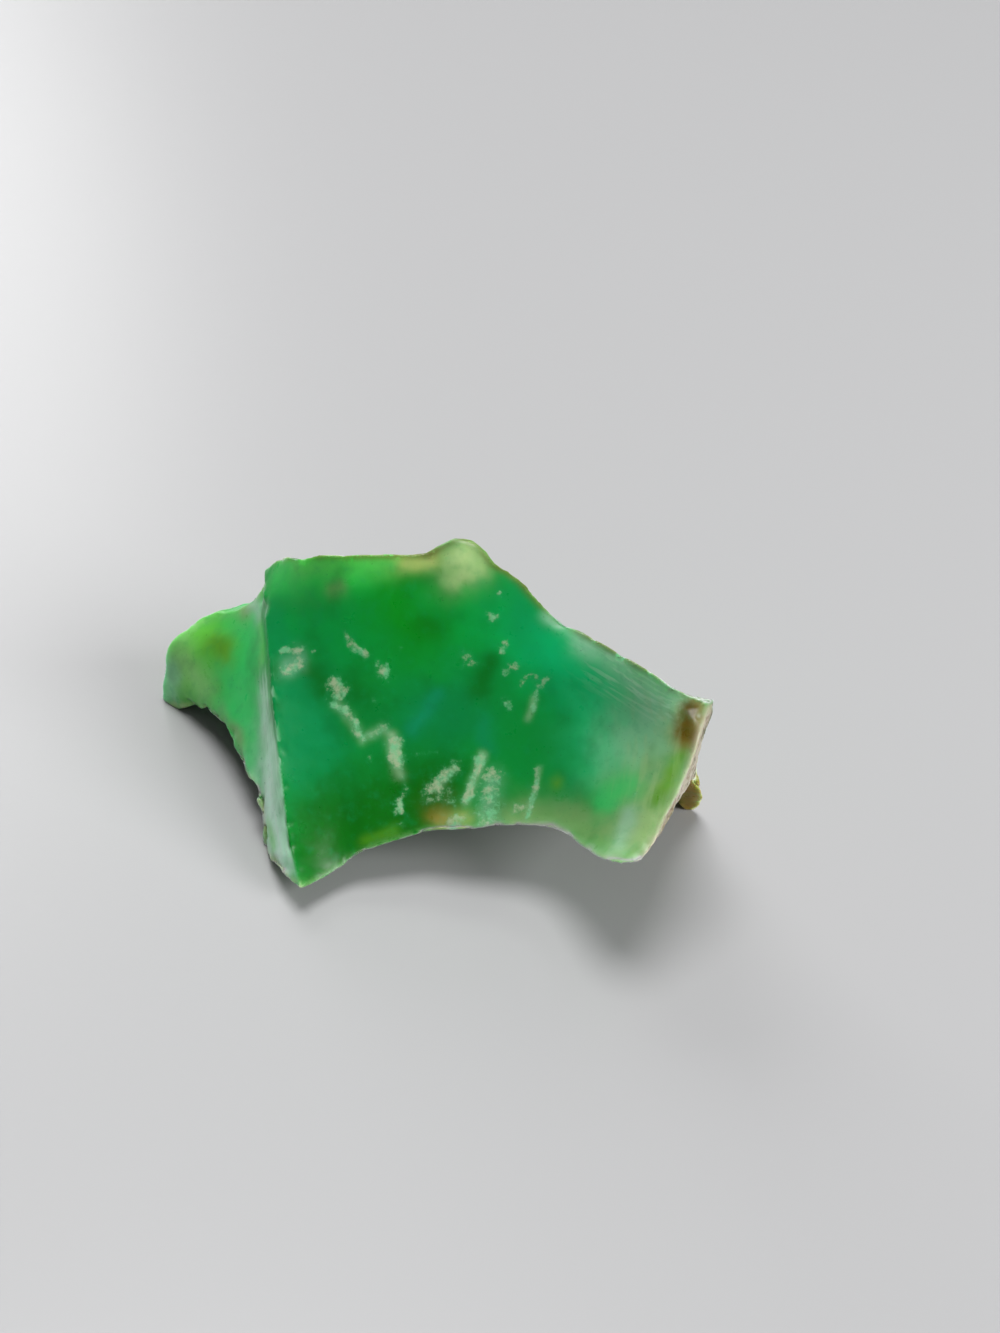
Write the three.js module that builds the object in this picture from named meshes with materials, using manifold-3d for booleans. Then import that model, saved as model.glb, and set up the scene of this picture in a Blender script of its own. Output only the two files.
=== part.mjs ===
// Raw chrysoprase: one broken chip of nickel-green chalcedony, as it came off the block.
// Millimetres, +Z up. The chip is one solid and stands by itself on three small feet.
// The origin is the middle of its box, on the surface it stands on.
// +X runs along its length, and the big hollow front face looks toward -Y and up.

import * as THREE from 'three';
import { ParametricGeometry } from 'three/addons/geometries/ParametricGeometry.js';
import { ImprovedNoise } from 'three/addons/math/ImprovedNoise.js';
import { mergeGeometries, mergeVertices } from 'three/addons/utils/BufferGeometryUtils.js';
import Module from 'manifold-3d';

const wasm = await Module();
wasm.setup();

// How finely each face is divided: along the chip, down its big faces, and across its narrow ones.
const STEPS_ALONG = 40;
const STEPS_DOWN = 17;
const STEPS_ACROSS = 11;

// How far each face swells out of (+) or is hollowed into (-) the sheet its edges span, in mm.
const FRONT_HOLLOW = -1.1;
const BACK_SWELL = 3.2;
const UNDER_HOLLOW = -0.5;
const LEFT_HOLLOW = -0.7;
const RIGHT_HOLLOW = -0.2;

// Low lumps on the weathered right face and on the back: their height and size.
const CORTEX_LUMPS = 0.25;
const CORTEX_LUMP_SIZE = 1.6;
const BACK_LUMPS = 0.7;
const BACK_LUMP_SIZE = 4.5;

// Bumps of an edge: what stands off a line through this many spans of it, and how fast they die
// out within a face.
const BROAD_SPANS = 3;
const BUMP_FADE = 4;

// How far the feet reach below the surface they stand on before they are cut flat there.
const FOOT_SINK = 0.4;

// Points closer than this are one point.
const MERGE_DISTANCE = 1e-4;

// A flake scar's bowl is this much wider than its bite, up to this share of the bowl's radius,
// and is turned from this many rings and sides.
const SCAR_OVERLAP = 1.25;
const SCAR_REACH_LIMIT = 0.95;
const SCAR_RINGS = 9;
const SCAR_SIDES = 40;

// The block that cuts the feet flat is wider than the chip and deeper than the feet.
const GROUND_WIDTH = 60;
const GROUND_DEPTH = 10;

const UP = new THREE.Vector3(0, 1, 0);
const NOISE = new ImprovedNoise();

// The corners, where three faces meet.
const LEFT_CORNER = [-10.4, 8.2, 10.3];
const RIGHT_CORNER = [15.9, -1.3, 12.0];
const TOE = [-5.3, -9.6, 1.65];
const PROW = [12.8, -9.8, 7.05];
const LOBE_TOP = [-13.5, 8.5, 5.9];
const RIGHT_SHOULDER = [15.6, 0.1, 6.2];
const LEFT_FOOT = [-15.5, 6.5, -FOOT_SINK];
const RIGHT_FOOT = [16.3, 3.2, -FOOT_SINK];
const FRONT_FOOT = [-7.8, -5.2, -FOOT_SINK];

// An edge is a smooth line through its points.
function edge(...points) {
  const vectors = points.map((point) => new THREE.Vector3(...point));
  return new THREE.CatmullRomCurve3(vectors, false, 'centripetal');
}

// Two edges end to end, with as many steps on each as firstSteps and secondSteps say.
function joined(first, second, firstSteps, secondSteps) {
  const share = firstSteps / (firstSteps + secondSteps);
  return {
    getPointAt: (t) => {
      if (t <= share) {
        return first.getPointAt(t / share);
      }
      return second.getPointAt((t - share) / (1 - share));
    },
  };
}

function reversed(curve) {
  return { getPointAt: (t) => curve.getPointAt(1 - t) };
}

// The sharp top edge between the front and the back, with its rounded knob.
const crest = edge(
  LEFT_CORNER,
  [-9.3, 6.8, 11.9],
  [-8.2, 5.4, 13.2],
  [-6.7, 4.4, 14.2],
  [-5.2, 4.0, 14.7],
  [-2.4, 4.6, 14.8],
  [-0.8, 5.0, 14.8],
  [0.0, 5.4, 15.1],
  [0.9, 5.6, 15.4],
  [1.9, 5.3, 15.3],
  [2.7, 4.7, 14.9],
  [3.6, 4.4, 14.8],
  [4.5, 4.1, 14.4],
  [5.8, 3.3, 13.6],
  [7.0, 2.7, 13.1],
  [8.8, 1.6, 13.0],
  [10.5, 0.0, 13.3],
  [12.2, -1.9, 13.8],
  [13.8, -2.8, 13.5],
  [14.9, -2.3, 12.9],
  RIGHT_CORNER,
);

// The ridge between the front and the left face, from the left corner down to the toe.
const ridge = edge(
  LEFT_CORNER,
  [-10.1, 5.5, 9.6],
  [-9.4, 3.0, 8.7],
  [-8.8, 0.7, 7.7],
  [-8.2, -1.5, 6.6],
  [-7.6, -3.5, 5.4],
  [-7.0, -5.4, 4.2],
  [-6.3, -7.3, 3.0],
  TOE,
);

// The edge between the front and the right face, from the right corner down to the prow.
const rightRidge = edge(
  RIGHT_CORNER,
  [15.4, -3.2, 11.3],
  [15.1, -4.5, 10.4],
  [14.7, -5.9, 9.5],
  [14.0, -7.4, 8.5],
  [13.5, -8.6, 7.7],
  PROW,
);

// The front's lower edge, an arch from the toe to the prow.
const arch = edge(
  TOE,
  [-4.3, -8.5, 1.4],
  [-3.1, -7.2, 1.6],
  [-1.9, -6.4, 2.2],
  [-0.3, -5.7, 2.6],
  [1.3, -5.2, 3.0],
  [3.0, -5.2, 3.4],
  [5.2, -4.9, 3.9],
  [7.7, -5.2, 4.5],
  [8.8, -6.0, 4.9],
  [9.6, -7.1, 5.3],
  [10.9, -9.2, 6.3],
  [11.8, -9.9, 6.8],
  PROW,
);

// The left face's ragged lower edge, from the toe over the front foot to the left foot.
const leftHem = edge(
  TOE,
  [-6.1, -9.0, 1.5],
  [-7.0, -7.4, 1.1],
  FRONT_FOOT,
  [-7.8, -4.6, 0.6],
  [-8.1, -4.0, 1.4],
  [-8.8, -3.0, 2.0],
  [-9.7, -0.9, 1.9],
  [-10.5, 0.2, 1.9],
  [-10.9, 1.3, 2.0],
  [-11.8, 3.0, 2.0],
  [-13.0, 4.5, 1.7],
  [-14.0, 5.5, 0.9],
  [-14.8, 6.2, 0.0],
  LEFT_FOOT,
);

// The outline of the lobe, from the left corner over the lobe's top to the left foot.
const lobeShoulder = edge(
  LEFT_CORNER,
  [-10.3, 7.6, 9.3],
  [-11.3, 7.4, 7.7],
  [-12.4, 8.0, 6.5],
  LOBE_TOP,
);
const lobeEnd = edge(
  LOBE_TOP,
  [-14.4, 8.6, 5.1],
  [-15.3, 8.1, 4.4],
  [-16.0, 7.8, 3.5],
  [-16.2, 7.5, 2.3],
  [-16.2, 7.1, 1.1],
  [-16.1, 6.8, 0.1],
  LEFT_FOOT,
);

// The edge between the right face and the back, from the right corner down to the right foot.
const rightBackUpper = edge(
  RIGHT_CORNER,
  [16.0, -1.2, 10.8],
  [15.8, -1.0, 9.0],
  [15.67, -0.5, 7.5],
  RIGHT_SHOULDER,
);
const rightBackLower = edge(
  RIGHT_SHOULDER,
  [15.65, 0.7, 4.9],
  [16.2, 1.4, 3.6],
  [16.6, 2.0, 2.5],
  [16.8, 2.7, 1.0],
  RIGHT_FOOT,
);

// The edge between the right face and the underside, from the prow down to the right foot.
const rightHem = edge(
  PROW,
  [13.55, -8.1, 7.2],
  [14.0, -6.1, 7.1],
  [14.7, -3.4, 6.4],
  [15.1, -1.5, 5.7],
  [15.4, 0.0, 4.6],
  [15.6, 1.7, 3.1],
  [15.7, 2.4, 1.5],
  [15.7, 2.7, 0.2],
  RIGHT_FOOT,
);

// The back's lower edge, just clear of the surface between the two feet.
const backHem = edge(
  LEFT_FOOT,
  [-13.6, 8.3, 0.5],
  [-9.8, 9.3, 0.9],
  [-5.0, 9.9, 0.5],
  [0.5, 9.6, 0.8],
  [5.5, 8.6, 1.2],
  [10.0, 7.6, 0.7],
  [14.2, 5.6, 0.6],
  RIGHT_FOOT,
);

// The same edge without its bumps, through its ends and a few places between.
function broad(curve) {
  const places = Array.from({ length: BROAD_SPANS + 1 }, (_, i) => curve.getPointAt(i / BROAD_SPANS));
  return new THREE.CatmullRomCurve3(places);
}

// A face spans its four edges, seen from outside. Top and bottom run from left to right, and
// left and right run from top to bottom. The bumps of its top and bottom edges die out within
// the face. It swells along its mean normal, and has low lumps.
function face({ top, bottom, left, right, columns, rows, swell, lumps = 0, lumpSize = 1 }) {
  const broadTop = broad(top);
  const broadBottom = broad(bottom);
  const topLeft = top.getPointAt(0);
  const topRight = top.getPointAt(1);
  const bottomLeft = bottom.getPointAt(0);
  const bottomRight = bottom.getPointAt(1);
  const falling = new THREE.Vector3().subVectors(bottomRight, topLeft);
  const rising = new THREE.Vector3().subVectors(topRight, bottomLeft);
  const outward = new THREE.Vector3().crossVectors(falling, rising).normalize();

  const surface = (v, u, target) => {
    const topBumps = (1 - v) ** BUMP_FADE;
    const bottomBumps = v ** BUMP_FADE;
    target.set(0, 0, 0);
    target.addScaledVector(top.getPointAt(u), topBumps);
    target.addScaledVector(broadTop.getPointAt(u), 1 - v - topBumps);
    target.addScaledVector(bottom.getPointAt(u), bottomBumps);
    target.addScaledVector(broadBottom.getPointAt(u), v - bottomBumps);
    target.addScaledVector(left.getPointAt(v), 1 - u);
    target.addScaledVector(right.getPointAt(v), u);
    target.addScaledVector(topLeft, -(1 - u) * (1 - v));
    target.addScaledVector(topRight, -u * (1 - v));
    target.addScaledVector(bottomLeft, -(1 - u) * v);
    target.addScaledVector(bottomRight, -u * v);
    const middle = Math.sin(Math.PI * u) * Math.sin(Math.PI * v);
    const lump = NOISE.noise(target.x / lumpSize, target.y / lumpSize, target.z / lumpSize);
    target.addScaledVector(outward, swell * middle + lumps * lump * Math.sqrt(Math.max(middle, 0)));
  };
  return new ParametricGeometry(surface, rows, columns);
}

// The closed skin of the chip: five faces that share their edges.
const skin = mergeGeometries([
  face({
    top: crest,
    bottom: arch,
    left: ridge,
    right: rightRidge,
    columns: STEPS_ALONG,
    rows: STEPS_DOWN,
    swell: FRONT_HOLLOW,
  }),
  face({
    top: reversed(lobeShoulder),
    bottom: reversed(leftHem),
    left: lobeEnd,
    right: ridge,
    columns: STEPS_ACROSS,
    rows: STEPS_DOWN,
    swell: LEFT_HOLLOW,
  }),
  face({
    top: rightBackUpper,
    bottom: rightHem,
    left: rightRidge,
    right: rightBackLower,
    columns: STEPS_ACROSS,
    rows: STEPS_DOWN,
    swell: RIGHT_HOLLOW,
    lumps: CORTEX_LUMPS,
    lumpSize: CORTEX_LUMP_SIZE,
  }),
  face({
    top: reversed(crest),
    bottom: reversed(backHem),
    left: joined(rightBackUpper, rightBackLower, STEPS_ACROSS, STEPS_DOWN),
    right: joined(lobeShoulder, lobeEnd, STEPS_ACROSS, STEPS_DOWN),
    columns: STEPS_ALONG,
    rows: STEPS_ACROSS + STEPS_DOWN,
    swell: BACK_SWELL,
    lumps: BACK_LUMPS,
    lumpSize: BACK_LUMP_SIZE,
  }),
  face({
    top: arch,
    bottom: backHem,
    left: leftHem,
    right: rightHem,
    columns: STEPS_ALONG,
    rows: STEPS_ACROSS,
    swell: UNDER_HOLLOW,
  }),
]);

// A solid from a closed geometry: shared points are merged and flattened triangles are dropped.
function solid(geometry) {
  const bare = geometry.clone();
  bare.deleteAttribute('normal');
  bare.deleteAttribute('uv');
  const merged = mergeVertices(bare, MERGE_DISTANCE);
  const corners = merged.index.array;
  const kept = [];
  for (let i = 0; i < corners.length; i += 3) {
    const [a, b, c] = corners.slice(i, i + 3);
    if (a !== b && b !== c && c !== a) {
      kept.push(a, b, c);
    }
  }
  return new wasm.Manifold(new wasm.Mesh({
    numProp: 3,
    vertProperties: merged.attributes.position.array,
    triVerts: new Uint32Array(kept),
  }));
}

// A shallow bowl, as one blow leaves it. It faces away from the stone.
function flakeScar({ middle, facing, radius, depth }) {
  const reach = Math.min(SCAR_OVERLAP * Math.sqrt(2 * radius * depth), radius * SCAR_REACH_LIMIT);
  const profile = [new THREE.Vector2(0, -depth)];
  for (let i = 1; i <= SCAR_RINGS; i += 1) {
    const out = reach * (i / SCAR_RINGS);
    const rise = radius - Math.sqrt(radius * radius - out * out);
    profile.push(new THREE.Vector2(out, rise - depth));
  }
  const lid = 2 * profile[SCAR_RINGS].y;
  profile.push(new THREE.Vector2(reach, lid));
  profile.push(new THREE.Vector2(0, lid));
  const bowl = new THREE.LatheGeometry(profile, SCAR_SIDES);
  const outward = new THREE.Vector3(...facing).normalize();
  bowl.applyQuaternion(new THREE.Quaternion().setFromUnitVectors(UP, outward));
  bowl.translate(...middle);
  return solid(bowl);
}

// Pushes a geometry's points away from a middle, most of all those that are near it.
function swellAround(geometry, { middle, reach, height }) {
  const points = geometry.attributes.position;
  const centre = new THREE.Vector3(...middle);
  const point = new THREE.Vector3();
  for (let i = 0; i < points.count; i += 1) {
    point.fromBufferAttribute(points, i);
    const away = point.clone().sub(centre);
    const push = height * Math.exp(-((away.length() / reach) ** 2));
    point.addScaledVector(away.normalize(), push);
    points.setXYZ(i, point.x, point.y, point.z);
  }
}

// The rounded knob on the crest, and the lump over the right foot.
swellAround(skin, { middle: [1.2, 5.3, 13.6], reach: 1.9, height: 0.55 });
swellAround(skin, { middle: [15.7, 2.2, 0.9], reach: 1.3, height: 0.3 });

// Where flakes broke away: each bite is a piece of a bowl this round, and this deep at its middle.
const scars = [
  // Behind: great flakes that meet in ridges.
  { middle: [-4.3, 8.8, 9.4], facing: [-0.05, 0.87, 0.47], radius: 24, depth: 1.0 },
  { middle: [5.3, 7.4, 9.0], facing: [0.25, 0.87, 0.44], radius: 22, depth: 1.1 },
  { middle: [-9.0, 9.9, 4.4], facing: [-0.15, 0.98, 0.08], radius: 18, depth: 0.9 },
  { middle: [-0.5, 10.9, 4.2], facing: [0.02, 1, -0.12], radius: 20, depth: 1.0 },
  { middle: [10.2, 3.4, 8.6], facing: [0.56, 0.69, 0.45], radius: 17, depth: 0.7 },
  { middle: [7.4, 8.3, 3.6], facing: [0.35, 0.92, 0.12], radius: 16, depth: 0.5 },
  // Small nicks along the back of the crest.
  { middle: [-6.9, 5.1, 13.9], facing: [-0.2, 0.75, 0.6], radius: 4.2, depth: 0.35 },
  { middle: [6.6, 3.6, 13.2], facing: [0.35, 0.75, 0.5], radius: 4.4, depth: 0.35 },
  // Small nicks along the ragged hem of the left face.
  { middle: [-9.2, -2.3, 1.9], facing: [-0.8, -0.3, -0.5], radius: 1.4, depth: 0.35 },
  { middle: [-11.3, 2.0, 1.9], facing: [-0.8, -0.3, -0.5], radius: 1.7, depth: 0.35 },
];

const broken = scars.map(flakeScar).reduce((whole, bite) => whole.subtract(bite), solid(skin));

// Everything below the surface is cut away, which leaves the three flat feet.
const ground = new THREE.BoxGeometry(GROUND_WIDTH, GROUND_WIDTH, GROUND_DEPTH);
ground.translate(0, 0, -GROUND_DEPTH / 2);
const standing = broken.subtract(solid(ground));

// The finished solid as one geometry, with its origin in the middle of the box's underside.
function geometryOf(manifold) {
  const { vertProperties, triVerts } = manifold.getMesh();
  const geometry = new THREE.BufferGeometry();
  geometry.setAttribute('position', new THREE.BufferAttribute(new Float32Array(vertProperties), 3));
  geometry.setIndex(new THREE.BufferAttribute(new Uint32Array(triVerts), 1));
  geometry.computeBoundingBox();
  const middle = geometry.boundingBox.getCenter(new THREE.Vector3());
  geometry.translate(-middle.x, -middle.y, -geometry.boundingBox.min.z);
  geometry.computeVertexNormals();
  return geometry;
}

const stone = new THREE.MeshStandardMaterial({ color: 0x2f9a55, roughness: 0.22, metalness: 0 });

const chrysoprase = new THREE.Mesh(geometryOf(standing), stone);
chrysoprase.name = 'chrysoprase';

const specimen = new THREE.Group();
specimen.add(chrysoprase);

export default specimen;
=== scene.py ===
import math

import bmesh
import bpy
import numpy as np
from mathutils import Matrix, Vector, noise
from mathutils.bvhtree import BVHTree
from mathutils.kdtree import KDTree


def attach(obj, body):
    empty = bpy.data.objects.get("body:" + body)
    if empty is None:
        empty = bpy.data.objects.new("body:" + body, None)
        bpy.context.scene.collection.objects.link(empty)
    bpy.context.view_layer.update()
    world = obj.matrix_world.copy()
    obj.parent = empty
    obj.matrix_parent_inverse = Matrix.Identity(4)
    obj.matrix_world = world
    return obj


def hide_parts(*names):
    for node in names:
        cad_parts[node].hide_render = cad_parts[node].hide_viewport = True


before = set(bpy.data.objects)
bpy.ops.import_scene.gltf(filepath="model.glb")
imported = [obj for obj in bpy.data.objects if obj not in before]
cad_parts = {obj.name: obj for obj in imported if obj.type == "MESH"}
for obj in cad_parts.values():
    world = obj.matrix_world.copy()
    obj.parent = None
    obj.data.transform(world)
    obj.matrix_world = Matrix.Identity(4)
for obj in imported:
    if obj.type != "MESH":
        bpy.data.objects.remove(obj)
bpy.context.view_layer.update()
bpy.ops.object.select_all(action="DESELECT")


# ---- The chip ------------------------------------------------------------------------------
# One broken piece of translucent chalcedony, coloured by nickel. Blows have left it a broad
# hollow front, a sharp crest with a knob, a lobe at the left and a back of flake scars. It is
# waxy where it is fresh, and the right face keeps the rough grey cortex of the block.
MM = 0.001
SAME_POINT = 0.0005        # corners of the CAD mesh closer than this are one corner, mm
SLIVER = 0.01              # triangles thinner than this are taken out, mm
SHORT_SIDE = 0.04          # sides shorter than this are closed up before the surface is divided, mm
GRAIN = 0.24               # sides longer than this are halved, mm
HALVINGS = 4               # how many times that is done
SHARP_ANGLE = 0.42         # an edge turned by more than this stays sharp, radians
EDGE_STEP = 0.05           # spacing of the marks along the sharp edges, mm
EDGE_KEEP = (0.01, 0.6)    # smoothing fades in between these distances from a sharp edge, mm
BROAD_ROUNDS = 40          # rounds of smoothing on the broad faces
LAST_ROUNDS = 2            # rounds of smoothing all over
SKIN = 0.05                # the thickness is felt for from this far under the surface, mm
FARTHEST = 30.0            # and no further than this, mm
LEAN = 0.8                 # how far the slanting ways through lean away from the straight one
SPREAD_ROUNDS = 12         # rounds that spread the thickness over the surface
THIN = (0.3, 1.8)          # stone is thin below the first of these, and not above the other, mm

# The relief's heights and depths, in mm.
SWELL = 0.05
RIPPLET = 0.012
SCALLOP = 0.2
SMALL_SCALLOP = 0.07
RIPPLE = 0.035
RIPPLE_SPACING = 0.8
CORTEX_LUMP = 0.12
CORTEX_PIT = 0.16
HEM_NICK = 0.3
KNOB_SWELL = 0.14
KNOB_GRAIN = 0.03

# The chip's long edges, in mm.
CREST_LEFT = ((-10.7, 7.9, 10.3), (-9.6, 6.5, 11.9), (-8.5, 5.1, 13.2), (-7.0, 4.1, 14.2),
              (-5.5, 3.7, 14.7), (-2.7, 4.3, 14.8), (-1.1, 4.7, 14.8), (-0.3, 5.1, 15.1),
              (0.6, 5.4, 15.6))
CREST_RIGHT = ((0.6, 5.4, 15.6), (1.6, 5.0, 15.4), (2.4, 4.4, 14.9), (3.3, 4.1, 14.8), (4.2, 3.8, 14.4),
               (5.5, 3.0, 13.6), (6.7, 2.4, 13.1), (8.5, 1.3, 13.0), (10.2, -0.3, 13.3), (11.9, -2.2, 13.8),
               (13.5, -3.1, 13.5), (14.6, -2.6, 12.9), (15.6, -1.6, 12.0))
RIGHT_EDGE = ((15.6, -1.6, 12.0), (15.1, -3.5, 11.3), (14.8, -4.8, 10.4), (14.4, -6.2, 9.5),
              (13.7, -7.7, 8.5), (13.2, -8.9, 7.7), (12.5, -10.1, 7.0))
RIGHT_BACK = ((15.6, -1.6, 12.0), (15.65, -1.5, 10.8), (15.45, -1.3, 9.0), (15.3, -0.8, 7.5),
              (15.25, -0.2, 6.2))
RIDGE = ((-10.7, 7.9, 10.3), (-10.5, 5.2, 9.6), (-9.8, 2.7, 8.7), (-9.2, 0.4, 7.7), (-8.6, -1.8, 6.6),
         (-7.9, -3.8, 5.4), (-7.3, -5.7, 4.2), (-6.7, -7.6, 3.0), (-5.6, -9.9, 1.6))
ARCH = ((-5.6, -9.9, 1.6), (-4.6, -8.8, 1.4), (-3.4, -7.5, 1.6), (-2.2, -6.7, 2.2), (-0.6, -6.0, 2.6),
        (0.9, -5.5, 3.0), (2.6, -5.5, 3.4), (4.8, -5.2, 3.9), (7.3, -5.5, 4.5), (8.5, -6.3, 4.9),
        (9.2, -7.4, 5.3), (10.5, -9.5, 6.3), (11.4, -10.2, 6.8), (12.5, -10.1, 7.0))
LEFT_HEM = ((-5.6, -9.9, 1.6), (-6.4, -9.3, 1.5), (-7.3, -7.7, 1.1), (-8.1, -5.5, 0.0), (-8.4, -4.3, 1.4),
            (-9.1, -3.3, 2.0), (-10.0, -1.2, 1.9), (-10.8, 0.0, 1.9), (-11.2, 1.0, 2.0), (-12.1, 2.7, 2.0),
            (-13.3, 4.2, 1.7), (-14.3, 5.2, 0.9), (-15.8, 6.3, 0.0))

# Where the cortex ends: at the front, how high it reaches at each y, and at the back, how far
# back it reaches at each height, in mm.
CORTEX_TOP = ((-10.1, 7.0), (-7.7, 8.5), (-4.8, 10.4), (-1.6, 12.0))
CORTEX_BACK = ((-0.4, 2.9), (1.0, 2.4), (2.5, 1.7), (3.6, 1.1), (4.9, 0.4), (6.2, -0.2), (7.5, -0.8),
               (9.0, -1.3), (12.0, -1.6))

# Where the blows fell from which ripples run out over the back, in mm.
STRIKES = ((-5.2, 4.6, 14.0), (5.0, 4.0, 13.4), (-12.5, 8.6, 6.0), (0.0, 9.6, 1.2), (13.5, -1.5, 11.5))
KNOB_TOP = (0.8, 4.9, 15.1)
KNOB_REACH = 1.7
FOOT_LUMP = ((16.4, 2.2, 1.6), (15.8, 2.8, 0.2))


def millimetre_copy(name, source):
    """A copy of a solid's mesh in millimetres, with its loose triangles merged."""
    mesh = source.data.copy()
    mesh.transform(Matrix.Scale(1 / MM, 4))
    form = bmesh.new()
    form.from_mesh(mesh)
    bmesh.ops.remove_doubles(form, verts=form.verts, dist=SAME_POINT)
    form.to_mesh(mesh)
    form.free()
    made = bpy.data.objects.new(name, mesh)
    bpy.context.scene.collection.objects.link(made)
    return made


def apply_modifier(piece, kind, **settings):
    """Adds one modifier, sets it and applies it."""
    modifier = piece.modifiers.new(kind.lower(), kind)
    for key, value in settings.items():
        setattr(modifier, key, value)
    bpy.context.view_layer.objects.active = piece
    bpy.ops.object.modifier_apply(modifier=modifier.name)


def sharp_marks(piece):
    """Points along the edges where two faces meet sharply."""
    form = bmesh.new()
    form.from_mesh(piece.data)
    marks = []
    for edge in form.edges:
        if len(edge.link_faces) == 2 and edge.calc_face_angle(0.0) > SHARP_ANGLE:
            start, end = (corner.co for corner in edge.verts)
            steps = max(1, math.ceil((end - start).length / EDGE_STEP))
            marks += [start.lerp(end, step / steps) for step in range(steps + 1)]
    form.free()
    return marks


def search_tree(points):
    """A tree that finds the nearest of these points."""
    tree = KDTree(len(points))
    for index, point in enumerate(points):
        tree.insert(point, index)
    tree.balance()
    return tree


def read_points(items, name):
    """One vector of each vertex, as rows of x, y and z."""
    values = np.empty(len(items) * 3, np.float32)
    items.foreach_get(name, values)
    return values.reshape(-1, 3).astype(float)


def ramp(values, low, high):
    """0 below low, 1 above high, and smooth between."""
    share = np.clip((values - low) / (high - low), 0, 1)
    return share * share * (3 - 2 * share)


def noise_at(places, size, octaves=3, seed=0.0):
    """Soft noise from about -1 to 1, with lumps of this size in mm."""
    shift = Vector((seed, -seed, 2 * seed))
    return np.array([noise.fractal(Vector(p) / size + shift, 1.0, 2.0, octaves) for p in places])


def near(places, reach, *line):
    """1 on a line of points in mm, or on one point, falling away smoothly within this reach."""
    line = [np.array(point, float) for point in line]
    apart = np.full(len(places), np.inf)
    for start, end in zip(line, line[1:] or line):
        way = end - start
        share = (places - start) @ way / max(way @ way, 1e-9)
        on_line = start + np.clip(share, 0, 1)[:, None] * way
        apart = np.minimum(apart, np.linalg.norm(places - on_line, axis=1))
    return np.exp(-((apart / reach) ** 2))


chip = millimetre_copy("chrysoprase_chip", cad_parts["chrysoprase"])
edges = search_tree(sharp_marks(chip))

# Short sides are closed up, and long ones are halved in a few rounds, which leaves a fine,
# even surface with the chip's edges in place.
form = bmesh.new()
form.from_mesh(chip.data)
bmesh.ops.remove_doubles(form, verts=form.verts, dist=SHORT_SIDE)
bmesh.ops.dissolve_degenerate(form, edges=form.edges, dist=SLIVER)
for _ in range(HALVINGS):
    long = [edge for edge in form.edges if edge.calc_length() > GRAIN]
    bmesh.ops.subdivide_edges(form, edges=long, cuts=1)
    bmesh.ops.triangulate(form, faces=form.faces)
form.to_mesh(chip.data)
form.free()

# The broad faces lose the facets of the CAD mesh, and the edges between them stay crisp.
broad = chip.vertex_groups.new(name="broad")
for vertex in chip.data.vertices:
    weight = float(ramp(edges.find(vertex.co)[2], *EDGE_KEEP))
    if weight > 0:
        broad.add([vertex.index], weight, "REPLACE")
apply_modifier(chip, "SMOOTH", factor=0.5, iterations=BROAD_ROUNDS, vertex_group="broad")
apply_modifier(chip, "SMOOTH", factor=0.5, iterations=LAST_ROUNDS)
chip.vertex_groups.clear()

places = read_points(chip.data.vertices, "co")
normals = read_points(chip.data.vertex_normals, "vector")
from_edge = np.array([edges.find(p)[2] for p in places])

# Shares from 0 to 1 of the cortex, the knob and the back.
top_z = np.interp(places[:, 1], *zip(*CORTEX_TOP))
back_y = np.interp(places[:, 2], *zip(*CORTEX_BACK))
cortex = ramp(top_z - places[:, 2], -0.15, 0.15) * ramp(back_y - places[:, 1], -0.2, 0.2)
cortex *= ramp(normals[:, 0], 0.2, 0.5) * ramp(places[:, 0], 11.5, 12.2)
knob = near(places, KNOB_REACH, KNOB_TOP)
behind = ramp(normals[:, 1], 0.0, 0.5)

# The relief, pushed out along the surface: slow swells, scallops bitten from the sharp edges,
# ripples that widen as they run out over the flake scars, the rough cortex, the nicks of the
# left hem and the grainy knob.
relief = SWELL * noise_at(places, 3.0, 2, 3.1) + RIPPLET * noise_at(places, 0.8, 2, 8.8)
at_edge = (1 - ramp(from_edge, 0.05, 0.7)) * (1 - knob)
relief -= SCALLOP * at_edge * np.clip(noise_at(places, 1.7, 2, 7.7) - 0.1, 0, None)
relief -= SMALL_SCALLOP * at_edge * np.clip(noise_at(places, 0.6, 2, 2.9) - 0.1, 0, None)
for strike in STRIKES:
    out = np.linalg.norm(places - np.array(strike), axis=1) + 0.35 * noise_at(places, 2.5, 2, 6.6)
    wave = np.cos(2 * math.pi * out / (RIPPLE_SPACING + 0.12 * out))
    relief += RIPPLE * behind * wave * near(places, 5.0, strike)
relief += cortex * CORTEX_LUMP * noise_at(places, 1.3, 4, 1.3)
relief -= cortex * CORTEX_PIT * np.clip(noise_at(places, 0.6, 3, 5.2) - 0.15, 0, 1)
hem = near(places, 0.7, *LEFT_HEM)
relief -= HEM_NICK * hem * np.clip(noise_at(places, 1.1, 2, 4.4) + 0.1, 0, None)
relief += knob * (KNOB_SWELL + KNOB_GRAIN * noise_at(places, 0.35, 3, 9.1))

places += relief[:, None] * normals
chip.data.vertices.foreach_set("co", places.astype(np.float32).ravel())
chip.data.update()
for polygon in chip.data.polygons:
    polygon.use_smooth = True


def srgb(code):
    """A colour written as six hex digits, as linear red, green and blue."""
    values = np.array([int(code[i:i + 2], 16) for i in (0, 2, 4)]) / 255
    return np.where(values <= 0.04045, values / 12.92, ((values + 0.055) / 1.055) ** 2.4)


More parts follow.
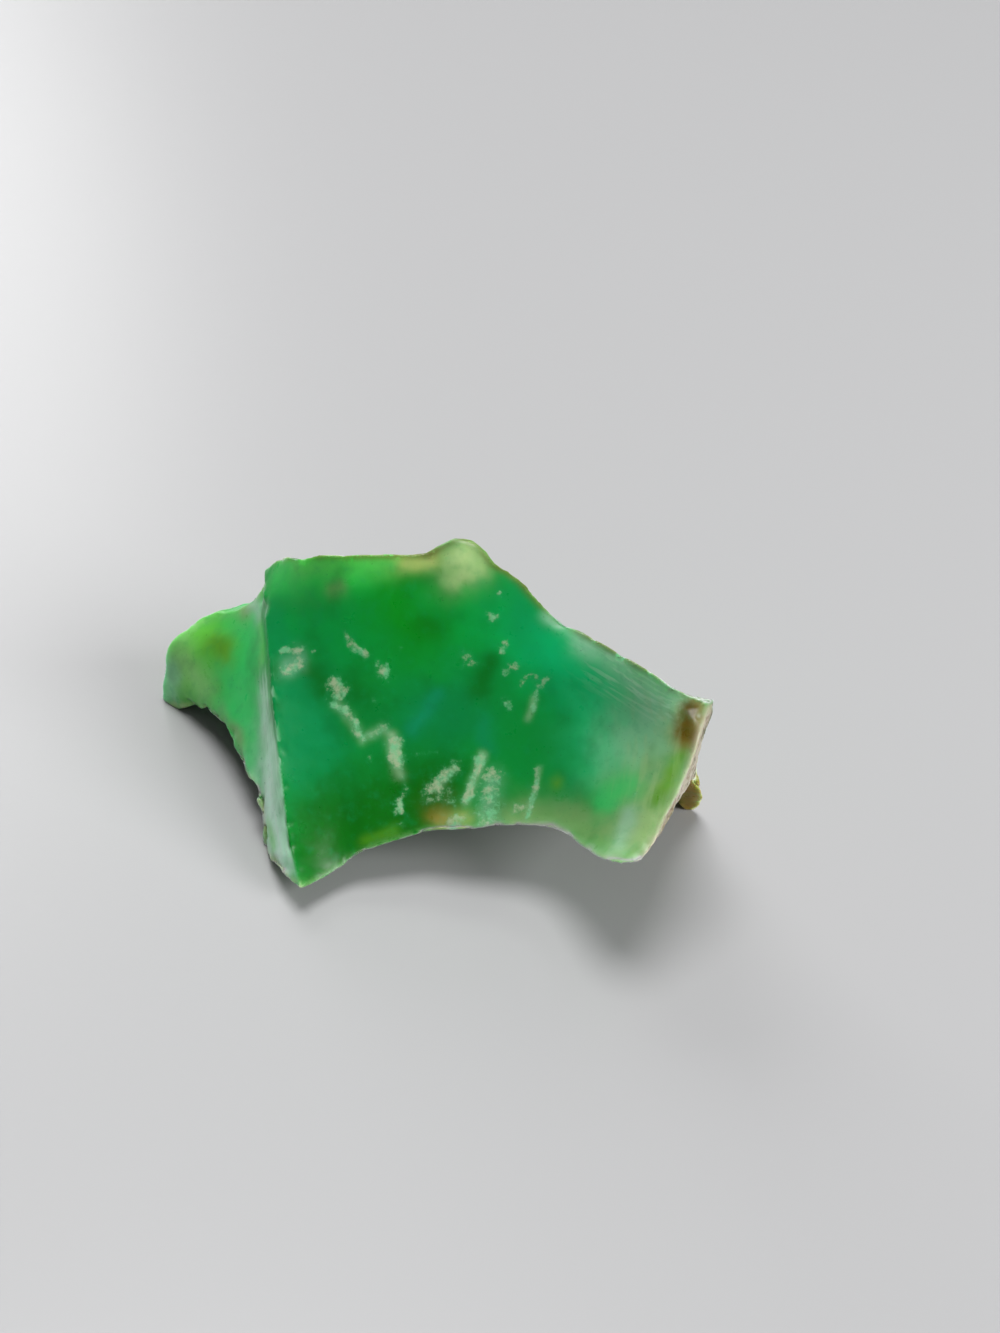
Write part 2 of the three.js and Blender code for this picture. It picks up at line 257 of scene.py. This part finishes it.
def thickness_at(piece, places, normals):
    """How much stone lies under each point, in mm: the mean of a few straight ways through."""
    tree = BVHTree.FromPolygons([Vector(p) for p in places],
                                [tuple(polygon.vertices) for polygon in piece.data.polygons])
    through = np.zeros(len(places))
    leans = [(0, 0), (LEAN, 0), (-LEAN, 0), (0, LEAN), (0, -LEAN)]
    for index, (place, normal) in enumerate(zip(places, normals)):
        inward = -Vector(normal)
        side = inward.orthogonal().normalized()
        other = inward.cross(side)
        start = Vector(place) + inward * SKIN
        for lean, tip in leans:
            way = (inward + side * lean + other * tip).normalized()
            hit = tree.ray_cast(start, way, FARTHEST)
            through[index] += (hit[3] if hit[0] else 0.0) / len(leans)
    return through


def smoothed(piece, values, rounds):
    """The values spread over the surface: each point takes the mean of its neighbours."""
    ends = np.empty(len(piece.data.edges) * 2, np.int32)
    piece.data.edges.foreach_get("vertices", ends)
    here, there = ends.reshape(-1, 2).T
    size = len(values)
    count = np.bincount(here, minlength=size) + np.bincount(there, minlength=size)
    for _ in range(rounds):
        total = np.bincount(here, values[there], size) + np.bincount(there, values[here], size)
        values = 0.5 * values + 0.5 * total / np.maximum(count, 1)
    return values


def write_attribute(piece, name, values):
    """Keeps one value per vertex on the mesh, for the material to read."""
    made = piece.data.attributes.new(name, "FLOAT", "POINT")
    made.data.foreach_set("value", values.astype(np.float32))


# The colours in the stone, and a few that paint light and shade on it. Nickel gives the greens, iron the
# olives and browns.
DEEP = srgb("00963a")
FRESH = srgb("00ae4a")
TEAL = srgb("009654")
BRIGHT_TEAL = srgb("00cc7e")
DARK_TEAL = srgb("008c48")
BLUE_TEAL = srgb("0a9668")
LEAF = srgb("009414")
DARK_LEAF = srgb("007004")
MOSS = srgb("26d454")
YELLOW_GREEN = srgb("72e068")
PALE = srgb("84ac6c")
PALE_GREY = srgb("9ee4b8")
PALE_YELLOW = srgb("b4d08e")
STRAW = srgb("b0c070")
MINT = srgb("a2ccb2")
STRIP_REFLECTION = srgb("cef8e0")
CREAM = srgb("c0dcb4")
LOBE = srgb("70d448")
LOBE_PALE = srgb("98dc84")
SPRING = srgb("2ed66c")
OLIVE = srgb("6aa81e")
BROWN = srgb("5c4c00")
STAIN = srgb("8c6c08")
DARK_OLIVE = srgb("346600")
BROWN_OLIVE = srgb("a0802a")
UNDERSIDE_SHADE = srgb("006a0c")

normals = read_points(chip.data.vertex_normals, "vector")
thick = smoothed(chip, thickness_at(chip, places, normals), SPREAD_ROUNDS)
thin = 1 - ramp(thick, *THIN)
below = ramp(-normals[:, 2], 0.1, 0.6)
ridge_y, ridge_x = np.array(RIDGE)[::-1, 1], np.array(RIDGE)[::-1, 0]
left = ramp(np.interp(places[:, 1], ridge_y, ridge_x) - places[:, 0], -0.05, 0.08)
drift = np.stack([noise_at(places, 1.6, 3, seed) for seed in (0.4, 5.5, 11.1)], axis=1)


def paint(colours, mask, clouds):
    """Paints clouds: colour, strength, reach in mm, and the point or line each lies along."""
    for colour, strength, reach, *line in clouds:
        share = mask * strength * near(places + (0.1 + 0.25 * reach) * drift, reach, *line)
        colours += (colour - colours) * share[:, None]


colours = np.tile(DEEP, (len(places), 1))
# Faces turned down are painted a darker green: painted shade on the underside.
colours += (UNDERSIDE_SHADE - colours) * (0.8 * below)[:, None]
rusty = 0.7 * below * ramp(places[:, 0] + places[:, 1], 9.0, 16.0)
colours += (BROWN_OLIVE - colours) * rusty[:, None]
# Thin stone is painted paler, more so towards the right: a painted glow of light coming through it.
thin_glow = thin * (1 - cortex) * (1 - below) * (0.2 + 0.4 * ramp(places[:, 0], 2.0, 6.0))
colours += (PALE - colours) * thin_glow[:, None]
# The front, from its broad tones to its stains and the bloom round its flecks.
paint(colours, 1 - left, [
    (TEAL, 0.95, 2.2, (-9.2, 3.4, 9.6), (-7.5, 0.2, 8.1), (-6.8, -3.6, 5.4)),
    (TEAL, 0.95, 2.2, (-6.0, -2.6, 6.4)),
    (FRESH, 0.9, 2.0, (-8.0, 3.0, 10.6), (-5.6, 2.1, 11.3)),
    (FRESH, 0.9, 2.6, (1.6, 2.3, 12.4), (4.0, 1.6, 11.8)),
    (BRIGHT_TEAL, 0.95, 2.3, (6.6, 1.4, 12.2), (9.1, -0.6, 11.2), (9.4, -2.6, 8.6)),
    (TEAL, 0.7, 1.6, (4.2, 3.0, 13.2), (5.2, 2.2, 12.6)),
    (BRIGHT_TEAL, 0.9, 2.3, (9.2, -2.2, 9.8)),
    (DARK_TEAL, 0.85, 2.2, (1.6, -0.6, 8.4), (-0.2, -1.4, 7.4)),
    (LEAF, 0.9, 2.0, (-2.8, 2.8, 12.8), (-1.4, 1.8, 11.6)),
    (DARK_LEAF, 0.75, 0.9, (-6.8, 0.4, 8.7), (-6.2, -0.4, 8.2)),
    (DARK_LEAF, 0.6, 1.2, (-4.4, -0.4, 8.4)),
    (DARK_LEAF, 0.75, 0.8, (3.1, 0.8, 10.5), (2.7, 0.0, 9.3)),
    (DARK_LEAF, 0.6, 0.9, (-0.6, 2.0, 11.9)),
    (DARK_LEAF, 0.98, 2.8, (-5.0, -7.0, 2.8), (-2.6, -5.0, 4.0)),
    (DARK_LEAF, 0.98, 1.5, (-0.4, -4.0, 4.4), (1.6, -3.2, 5.4)),
    (DEEP, 0.8, 2.0, (6.1, -1.6, 8.0), (6.2, -2.6, 6.8)),
    (BLUE_TEAL, 0.75, 0.45, (0.4, -0.4, 8.8), (-0.7, -1.6, 7.2)),
    (BLUE_TEAL, 0.5, 0.5, (3.6, -2.0, 6.9), (3.2, -1.2, 7.8)),
    (MOSS, 0.85, 1.3, (-9.6, 5.6, 11.2), (-8.0, 4.3, 12.4), (-5.6, 3.4, 13.9)),
    (YELLOW_GREEN, 0.6, 0.8, (-8.6, 5.0, 12.6), (-6.0, 3.7, 14.2), (-3.4, 3.8, 14.4)),
    (PALE, 0.6, 0.45, (-6.4, 3.1, 12.7), (-5.9, 3.1, 13.0)),
    (PALE_YELLOW, 0.98, 1.4, (0.8, 4.7, 15.0)),
    (STRAW, 0.85, 0.7, (-2.4, 4.1, 14.5), (-1.0, 4.4, 14.6)),
    (PALE_YELLOW, 0.7, 0.7, (1.6, 4.0, 14.6), (0.4, 3.4, 14.0)),
    (PALE_GREY, 0.85, 2.6, (13.0, -3.2, 12.2), (11.5, -4.2, 10.0)),
    (PALE_GREY, 0.7, 0.8, (8.2, 1.2, 12.7), (9.8, -0.4, 12.6), (11.4, -2.0, 12.8), (13.0, -3.0, 12.9)),
    # These two pale clouds on the thin lower right end are partly the stone's paler tone and partly a
    # painted glow of light coming through the thin stone.
    (PALE, 0.85, 2.4, (12.8, -5.8, 9.2), (11.4, -8.6, 7.0)),
    (PALE_YELLOW, 0.5, 1.0, (13.2, -6.4, 9.2), (12.4, -8.6, 7.4)),
    (PALE, 0.8, 1.2, (10.0, -7.0, 6.2), (8.2, -5.4, 5.3), (5.6, -5.0, 4.3)),
    (SPRING, 0.6, 1.0, (10.1, -5.3, 6.9), (11.4, -5.4, 8.4)),
    (MINT, 0.7, 0.4, (6.0, 2.6, 13.1), (8.4, 1.1, 12.9), (11.0, -1.4, 13.4), (13.2, -3.0, 13.2)),
    (MINT, 0.6, 0.6, (11.6, -7.0, 7.6), (11.3, -8.6, 6.8)),
    (STAIN, 0.95, 1.0, (14.5, -2.8, 12.3), (14.1, -4.0, 11.0)),
    (BROWN, 0.98, 0.6, (14.3, -3.1, 12.1), (14.2, -3.9, 11.2)),
    (OLIVE, 0.8, 0.5, (14.0, -4.8, 10.1), (13.5, -5.8, 9.3), (13.0, -6.5, 8.7)),
    (OLIVE, 0.6, 0.4, (7.7, -3.5, 6.2)),
    (DARK_LEAF, 0.95, 1.4, (-4.4, -8.2, 1.9), (-2.4, -6.4, 2.6), (0.2, -4.9, 3.7)),
    (OLIVE, 0.4, 0.35, (-2.6, -6.4, 2.5), (-1.0, -5.6, 3.0)),
    (DARK_OLIVE, 0.95, 0.9, (0.9, -4.3, 4.2), (1.5, -4.2, 4.4)),
    (CREAM, 0.55, 0.3, (-1.9, -2.0, 6.8), (-1.6, -2.8, 5.8), (-1.1, -3.3, 5.2)),
    (CREAM, 0.3, 0.28, (-5.2, -1.0, 7.7), (-4.2, -1.5, 7.2), (-3.4, -2.2, 6.5), (-2.4, -1.8, 7.0)),
    (CREAM, 0.4, 0.24, (3.3, -2.3, 6.4), (2.8, -4.1, 4.5)),
    (CREAM, 0.3, 0.22, (1.8, -2.9, 5.7), (0.9, -3.7, 4.7)),
    (CREAM, 0.3, 0.16, (6.6, -2.8, 6.5), (6.3, -4.7, 4.6)),
    (CREAM, 0.35, 0.2, (5.7, -0.2, 9.4), (5.6, -0.9, 8.5)),
    (MINT, 0.5, 0.6, (-8.4, 0.9, 8.4), (-7.8, 1.1, 8.8)),
    (MINT, 0.4, 0.6, (4.1, -3.2, 5.5), (4.1, -4.7, 4.2)),
    (STRAW, 0.9, 0.6, (1.6, -5.0, 3.7), (2.6, -4.9, 3.8)),
    (BROWN_OLIVE, 0.6, 0.5, (1.0, -4.7, 3.8), (1.8, -5.0, 3.7)),
])
# The left face: the lobe, a bright green band, and a painted reflection as a milky strip beside the ridge.
paint(colours, left * (1 - below), [
    (SPRING, 1.0, 4.0, (-12.0, 5.4, 6.2), (-11.5, 2.7, 4.0), (-10.4, 1.0, 3.6)),
    (LOBE, 0.95, 2.6, (-14.6, 6.9, 4.6), (-14.9, 6.2, 2.4)),
    (MOSS, 0.6, 1.0, (-12.6, 4.4, 2.8), (-13.6, 5.2, 2.6)),
    (OLIVE, 0.9, 0.9, (-13.4, 6.1, 5.4), (-12.4, 5.4, 5.4)),
    (LOBE_PALE, 0.8, 0.4, (-10.7, 7.3, 9.3), (-11.7, 7.1, 7.7), (-13.9, 8.2, 5.9), (-15.7, 7.8, 4.4),
     (-16.6, 7.2, 2.3)),
    (PALE, 0.8, 0.5, (-12.0, 3.1, 2.7), (-11.0, 1.4, 2.7), (-10.4, 0.2, 2.6)),
    (LOBE_PALE, 0.8, 0.7, (-15.8, 7.2, 4.0), (-15.7, 6.6, 2.2)),
    (LOBE_PALE, 0.8, 1.1, (-15.1, 6.2, 3.4), (-13.4, 4.8, 2.6)),
    (PALE_GREY, 0.8, 0.9, (-16.2, 7.0, 2.2), (-15.8, 6.4, 0.8)),
    (PALE, 0.85, 0.8, (-10.9, 7.4, 9.0), (-11.6, 6.9, 7.6)),
    (MINT, 0.7, 0.5, (-11.4, 6.9, 8.0), (-10.8, 5.4, 8.2)),
    (YELLOW_GREEN, 0.6, 0.6, (-10.7, 4.6, 8.2), (-10.3, 2.6, 7.4)),
    # The next two clouds paint a reflection of the bright surroundings as a milky strip beside the ridge.
    (STRIP_REFLECTION, 0.75, 0.8, (-9.8, 1.0, 6.4), (-9.3, -0.8, 5.4)),
    (STRIP_REFLECTION, 0.98, 2.2, (-8.9, -2.8, 4.2), (-8.2, -4.9, 2.6), (-7.2, -7.6, 1.8)),
    (YELLOW_GREEN, 0.7, 0.5, (-8.3, -5.2, 1.6), (-7.7, -6.6, 1.6)),
])
# Slow changes over the back, and the iron-stained lump over the right foot.
paint(colours, behind, [
    (DARK_TEAL, 0.8, 3.6, (-3.6, 9.2, 4.6), (1.8, 9.4, 3.6)),
    (TEAL, 0.8, 3.0, (5.4, 6.6, 8.6), (7.6, 4.6, 9.4)),
    (DARK_LEAF, 0.6, 2.6, (-8.6, 9.2, 4.4), (-6.6, 8.4, 7.4)),
    (MINT, 0.5, 1.8, (12.6, 3.8, 5.4), (11.6, 1.2, 9.2)),
    (YELLOW_GREEN, 0.5, 1.4, (-12.6, 8.9, 3.4), (-14.2, 8.6, 3.0)),
])
paint(colours, np.ones(len(places)), [
    (BROWN_OLIVE, 0.98, 1.9, (15.8, 1.0, 3.8), *FOOT_LUMP),
])

body = chip.data.attributes.new("body_colour", "FLOAT_COLOR", "POINT")
body.data.foreach_set("color", np.c_[colours, np.ones(len(colours))].astype(np.float32).ravel())
write_attribute(chip, "cortex", cortex * (1 - near(places, 2.2, *FOOT_LUMP)))
write_attribute(chip, "crest_line", near(places, 0.28, *CREST_LEFT, *CREST_RIGHT))
write_attribute(chip, "rim", (1 - cortex) * np.maximum(
    near(places, 0.3, *RIGHT_EDGE), 0.4 * near(places, 0.26, *CREST_RIGHT[-3:])))
write_attribute(chip, "outer_line", near(places, 0.34, (13.2, -2.7, 13.6), (14.7, -2.4, 12.9), *RIGHT_BACK))
write_attribute(chip, "rim_line", near(places, 0.4, *RIGHT_EDGE) * cortex)
write_attribute(chip, "ridge_line", near(places, 0.15, (-9.5, 1.4, 8.2), *RIDGE[3:6]))
write_attribute(chip, "hem_line", np.maximum(
    near(places, 0.3, *LEFT_HEM), 0.4 * near(places, 0.3, *ARCH)))
front = ramp(-normals[:, 1], 0.1, 0.45) * (1 - cortex)
stain = near(places, 0.9, (14.3, -3.0, 12.2), (13.9, -4.2, 10.9))
# Where the hackles lie along the crest. Their white is partly a painted sheen.
write_attribute(chip, "hackle_and_sheen", front * (1 - stain) * ramp(places[:, 0], 6.5, 11.0) * near(
    places, 1.3, (6.4, 2.0, 12.6), (8.4, 0.4, 12.3), (11.0, -2.0, 12.6), (13.2, -3.4, 12.6)))
write_attribute(chip, "combed", front * near(places, 2.4, (12.8, -4.4, 10.8), (12.0, -7.6, 7.8)))
# Where the painted reflection on the strip beside the ridge lies.
write_attribute(chip, "reflection_strip", left * near(
    places, 0.9, (-9.9, 1.2, 6.8), (-9.3, -0.8, 5.8), (-8.8, -3.0, 4.8), (-7.1, -7.8, 2.3)))

# Cream flecks of opal: how solid each is, how wide in mm, and the line it lies along. The
# places are shaken a little, which curdles the outlines.
flecks = [
    (0.85, 0.16, (-8.8, 1.8, 8.7), (-7.7, 1.6, 9.2)),
    (0.7, 0.10, (-6.9, 1.3, 9.4)),
    (0.75, 0.32, (-8.4, 0.8, 8.3), (-7.8, 0.9, 8.7)),
    (0.7, 0.17, (-5.1, 1.5, 10.7), (-4.5, 1.0, 10.2), (-3.9, 0.8, 10.1)),
    (0.9, 0.26, (-2.9, 0.3, 9.5)),
    (0.5, 0.09, (-2.0, 1.1, 10.6)),
    (0.85, 0.30, (-5.5, -0.2, 8.5), (-5.1, -0.5, 8.2)),
    (0.8, 0.17, (-5.3, -1.0, 7.7), (-4.6, -1.3, 7.4), (-4.2, -1.5, 7.2), (-3.5, -2.2, 6.5)),
    (0.7, 0.20, (-2.9, -2.0, 6.7), (-2.2, -1.6, 7.1)),
    (0.9, 0.26, (-1.7, -2.2, 6.5), (-1.5, -2.9, 5.7)),
    (0.5, 0.12, (-1.1, -3.2, 5.4), (-0.7, -3.9, 4.5), (-0.7, -4.3, 4.1)),
    (0.85, 0.22, (-0.9, -4.6, 3.9)),
    (0.5, 0.12, (-0.7, -5.3, 3.2)),
    (0.6, 0.13, (-3.1, -0.8, 8.2)),
    (0.6, 0.14, (-2.9, -3.0, 5.6)),
    (0.45, 0.09, (-0.7, -2.5, 6.1), (0.6, -2.3, 6.3)),
    (0.7, 0.11, (3.1, 3.2, 13.8)),
    (0.75, 0.22, (2.9, 2.4, 12.8)),
    (0.75, 0.12, (3.8, 1.5, 11.5), (3.7, 1.2, 11.2)),
    (0.6, 0.30, (1.8, 1.0, 10.6)),
    (0.8, 0.16, (4.4, 0.8, 10.6)),
    (0.75, 0.14, (3.9, 0.6, 10.2)),
    (0.8, 0.14, (4.3, -0.3, 9.0), (4.5, -0.5, 8.8)),
    (0.8, 0.13, (5.0, 0.3, 9.9), (5.2, 0.5, 10.2), (5.5, 0.5, 10.4), (5.9, 0.2, 10.0)),
    (0.8, 0.13, (6.3, 0.3, 10.3), (5.9, 0.0, 9.6), (5.7, -0.7, 8.7)),
    (0.75, 0.26, (1.8, -2.9, 5.7), (0.7, -3.7, 4.7)),
    (0.6, 0.26, (0.7, -3.7, 4.7), (1.6, -3.8, 4.7)),
    (0.5, 0.28, (0.6, -4.1, 4.3), (2.1, -4.1, 4.4)),
    (0.85, 0.30, (2.0, -5.2, 3.6), (2.4, -5.0, 3.7)),
    (0.85, 0.20, (3.3, -2.3, 6.4), (2.8, -4.1, 4.5)),
    (0.62, 0.45, (4.0, -3.0, 5.7), (4.1, -4.9, 4.0)),
    (0.8, 0.14, (6.6, -2.8, 6.5), (6.3, -4.7, 4.6)),
    (0.75, 0.18, (5.8, -4.3, 4.8), (5.5, -4.5, 4.6)),
    (0.4, 0.14, (12.1, -5.6, 8.5), (11.8, -6.0, 8.1)),
]
broken = places + 0.22 * np.stack([noise_at(places, 0.7, 3, seed) for seed in (1.7, 6.3, 3.9)], axis=1)
fleck_field = np.zeros(len(places))
for solid, width, *line in flecks:
    fleck_field = np.maximum(fleck_field, solid * near(broken, 1.9 * width, *line))
write_attribute(chip, "fleck", fleck_field)


class Wire:
    """A node's output. Adding, subtracting or multiplying wires adds their Math nodes."""

    tree = None

    def __init__(self, socket):
        self.socket = socket

    @classmethod
    def node(cls, kind, settings=None, inputs=None, output=0):
        """Any node: its type, its settings, the values or wires of its sockets, and the output."""
        made = cls.tree.nodes.new("ShaderNode" + kind)
        for name, value in (settings or {}).items():
            setattr(made, name, value)
        for name, value in (inputs or {}).items():
            if isinstance(value, Wire):
                cls.tree.links.new(value.socket, made.inputs[name])
            else:
                made.inputs[name].default_value = value
        return cls(made.outputs[output])

    def maths(self, operation, other, swapped=False):
        """A Math node on this wire and another wire or number."""
        pair = (other, self) if swapped else (self, other)
        return Wire.node("Math", {"operation": operation}, dict(enumerate(pair)))

    def __add__(self, other):
        return self.maths("ADD", other)

    def __sub__(self, other):
        return self.maths("SUBTRACT", other)

    def __rsub__(self, other):
        return self.maths("SUBTRACT", other, swapped=True)

    def __mul__(self, other):
        return self.maths("MULTIPLY", other)

    __radd__ = __add__
    __rmul__ = __mul__

    def into(self, shader, name):
        """Feeds a socket of the shader."""
        Wire.tree.links.new(self.socket, shader.inputs[name])


def step_up(value, low, high):
    """A wire that is 0 below low, 1 above high, and smooth between."""
    settings = {"interpolation_type": "SMOOTHSTEP"}
    return Wire.node("MapRange", settings, {"Value": value, "From Min": low, "From Max": high})


def mixed(share, first, second):
    """One colour going over into another; each is a wire or a linear colour."""
    pair = [value if isinstance(value, Wire) else (*value, 1.0) for value in (first, second)]
    inputs = {0: share, 6: pair[0], 7: pair[1]}
    return Wire.node("Mix", {"data_type": "RGBA"}, inputs, output=2)


def attribute(name, output="Fac"):
    """What was kept on the mesh under this name."""
    return Wire.node("Attribute", {"attribute_name": name}, output=output)


def grains(where, size, detail=3.0, roughness=0.5):
    """Noise from 0 to 1 with grains of this size in mm."""
    inputs = {"Vector": where, "Scale": 1.0 / (size * MM), "Detail": detail, "Roughness": roughness}
    return Wire.node("TexNoise", inputs=inputs)


def drawn_out(where, way, stretch):
    """Places squeezed along this way, which draws a pattern out along it."""
    way = Vector(way)
    turn = (0.0, -math.asin(way.z / way.length), math.atan2(way.y, way.x))
    return Wire.node("Mapping", {"vector_type": "TEXTURE"},
                     {"Vector": where, "Rotation": turn, "Scale": (stretch, 1.0, 1.0)})


stone = bpy.data.materials.new("waxy_chrysoprase")
stone.use_nodes = True
Wire.tree = stone.node_tree
shader = stone.node_tree.nodes["Principled BSDF"]
where = Wire.node("TexCoord", output="Object")

# Noise that the marks share, from broad clouds down to a fine grain.
cloudy = grains(where, 2.6, 4.0)
curdled = grains(where, 0.8, 4.0, 0.6)
crumbs = grains(where, 0.34, 3.0, 0.6)
fine = grains(where, 0.13, 2.0, 0.6)

# The ways in which the streaks run, and the colours of the marks.
ALONG_CREST = (7.6, -6.1, 0.1)
DOWN_RIGHT_END = (-0.5, -4.9, -3.1)
DOWN_RIDGE = (5.1, -17.8, -8.6)
CLOUD_GREEN = srgb("006a14")
CURD_GREEN = srgb("0aa05c")
HACKLE_SHEEN_WHITE = srgb("c8ecd2")
COMBED_STRAW = srgb("a9c78c")
BRUSHED_REFLECTION = srgb("cdeed8")
HEM_CREAM = srgb("c4dc9c")
CREST_BROWN = srgb("6a6a30")
RIM_BEIGE = srgb("c4b6a4")
RIDGE_MINT = srgb("b9e0c4")
CREVICE = srgb("6c6450")
CHALK = srgb("b8ae9c")
RUST = srgb("7a6636")
CHALKY_RIM = srgb("c0b49c")
OUTER_BROWN = srgb("3e3222")
FLECK_HALO = srgb("40b078")
OPAL_MINT = srgb("82cc98")
OPAL_CREAM = srgb("b8c4a0")
DARK_SPECK = srgb("0c3a12")

# Clouds and curds in the green.
colour = attribute("body_colour", "Color")
colour = mixed(step_up(cloudy, 0.5, 0.72) * 0.3, colour, CLOUD_GREEN)
colour = mixed(step_up(curdled, 0.5, 0.75) * 0.22, colour, CURD_GREEN)

# Hackles that run along the crest, their white partly a painted sheen, combed streaks that run down
# the thin right end, and brushed streaks in the painted reflection on the milky strip.
hackles = step_up(grains(drawn_out(where, ALONG_CREST, 9.0), 0.24, 2.0), 0.46, 0.66)
colour = mixed(hackles * attribute("hackle_and_sheen") * 0.5, colour, HACKLE_SHEEN_WHITE)
streaks = step_up(grains(drawn_out(where, DOWN_RIGHT_END, 7.0), 0.45, 2.0), 0.45, 0.7)
colour = mixed(streaks * attribute("combed") * 0.4, colour, COMBED_STRAW)
# Brushed streaks in the painted reflection on the strip beside the ridge.
brushed = step_up(grains(drawn_out(where, DOWN_RIDGE, 8.0), 0.3, 3.0), 0.42, 0.62)
colour = mixed(brushed * attribute("reflection_strip") * 0.7, colour, BRUSHED_REFLECTION)

# The edges: pale ragged hems, a thin brown line on the crest, a chalky rim on the right, and
# white dashes down the ridge.
colour = mixed(attribute("hem_line") * step_up(curdled, 0.36, 0.52) * 0.7, colour, HEM_CREAM)
colour = mixed(attribute("crest_line") * step_up(curdled, 0.28, 0.42) * 0.9, colour, CREST_BROWN)
colour = mixed(attribute("rim") * 0.85, colour, RIM_BEIGE)
dashes = step_up(grains(drawn_out(where, DOWN_RIDGE, 3.0), 0.3, 1.0), 0.5, 0.6)
colour = mixed(attribute("ridge_line") * dashes * 0.6, colour, RIDGE_MINT)

# Cortex: chalky grey with dark crevices and rusty clouds, a chalky rim in front, and a dark line
# along its back edge.
chalk = grains(where, 0.6, 4.0, 0.6)
chalky = mixed(step_up(chalk, 0.34, 0.56), CREVICE, CHALK)
chalky = mixed(step_up(cloudy, 0.52, 0.68) * 0.45, chalky, RUST)
colour = mixed(attribute("cortex"), colour, chalky)
colour = mixed(attribute("rim_line") * 0.7, colour, CHALKY_RIM)
colour = mixed(attribute("outer_line") * step_up(chalk, 0.2, 0.42) * 0.9, colour, OUTER_BROWN)

# Flecks: a milky halo in the stone round a broken core of mint and cream. Dark specks are
# scattered over everything.
clotted = attribute("fleck") + (crumbs - 0.5) * 1.2
halo = step_up(clotted, 0.1, 0.8)
core = step_up(clotted + (fine - 0.5) * 0.4, 0.38, 0.86)
colour = mixed(halo * 0.35, colour, FLECK_HALO)
opal = mixed(step_up(curdled, 0.4, 0.6), OPAL_MINT, OPAL_CREAM)
colour = mixed(core * 0.8, colour, opal)
specks = step_up(grains(where, 0.1, 0.0), 0.8, 0.84)
colour = mixed(specks * 0.3, colour, DARK_SPECK)
colour.into(shader, "Base Color")

# Waxy where it is fresh, dull on the cortex, and barely raised where the flecks break out.
rough = 0.24 + curdled * 0.1 + attribute("cortex") * 0.4 + core * 0.12
rough.into(shader, "Roughness")
height = fine * 0.02 + core * 0.2 + crumbs * 0.06 + brushed * attribute("reflection_strip") * 0.15
bump = Wire.node("Bump", inputs={"Height": height, "Distance": 0.1 * MM, "Strength": 0.5})
bump.into(shader, "Normal")

# Light goes about a millimetre into the stone, and the green furthest.
shader.inputs["Subsurface Weight"].default_value = 1.0
shader.inputs["Subsurface Radius"].default_value = (0.6, 1.0, 0.75)
shader.inputs["Subsurface Scale"].default_value = 0.8 * MM
shader.inputs["IOR"].default_value = 1.54
shader.inputs["Specular IOR Level"].default_value = 0.28

chip.data.transform(Matrix.Scale(MM, 4))
chip.data.materials.clear()
chip.data.materials.append(stone)
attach(chip, "root")
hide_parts("chrysoprase")


# ---- The floor -----------------------------------------------------------------------------
# A plain pale board with a satin finish, wide enough to fill the view. The chip stands on it
# by its three small feet.
bpy.ops.mesh.primitive_plane_add(size=3.0)
floor = bpy.context.active_object
floor.name = "floor"
board = bpy.data.materials.new("pale_satin_board")
board.use_nodes = True
board.node_tree.nodes["Principled BSDF"].inputs["Base Color"].default_value = (0.45, 0.45, 0.455, 1.0)
board.node_tree.nodes["Principled BSDF"].inputs["Roughness"].default_value = 0.3
floor.data.materials.append(board)


# ---- The lights ----------------------------------------------------------------------------
# Three round softboxes, above, at the right and behind, in a room with dim even light. They
# are bare lamps with no body.
def softbox(name, place, size, power):
    """A round soft light of this power in watts, turned to the chip."""
    lamp = bpy.data.lights.new(name, "AREA")
    lamp.shape = "DISK"
    lamp.size = size
    lamp.energy = power
    made = bpy.data.objects.new(name, lamp)
    made.location = place
    made.rotation_euler = (-Vector(place)).to_track_quat("-Z", "Y").to_euler()
    bpy.context.scene.collection.objects.link(made)


softbox("top_light", (-0.06, 0.12, 0.6), 0.36, 2.7)
softbox("right_light", (0.5, -0.18, 0.32), 0.35, 3.0)
softbox("back_light", (-0.3, 0.5, 0.32), 0.4, 1.8)
sky = bpy.data.worlds.new("even_sky")
sky.use_nodes = True
sky.node_tree.nodes["Background"].inputs["Color"].default_value = (0.97, 0.98, 1.0, 1.0)
sky.node_tree.nodes["Background"].inputs["Strength"].default_value = 0.15
bpy.context.scene.world = sky
bpy.context.scene.view_settings.view_transform = "Standard"


# ---- The camera ----------------------------------------------------------------------------
# It looks down on the front from close by, with a long lens, and is tipped a little to one
# side.
PITCH = math.radians(38.0)
ROLL = math.radians(7.5)
AIM = Vector((3.65, 14.24, 0.0)) * MM
DISTANCE = 152.0 * MM

lens = bpy.data.cameras.new("camera")
lens.lens = 64.8
lens.sensor_width = 36.0
lens.clip_start = 0.005
lens.clip_end = 20.0
camera = bpy.data.objects.new("camera", lens)
back = Vector((0.0, -math.cos(PITCH), math.sin(PITCH)))
turn = Matrix.Rotation(math.pi / 2 - PITCH, 4, "X") @ Matrix.Rotation(ROLL, 4, "Z")
camera.matrix_world = Matrix.Translation(AIM + back * DISTANCE) @ turn
bpy.context.scene.collection.objects.link(camera)
bpy.context.scene.camera = camera
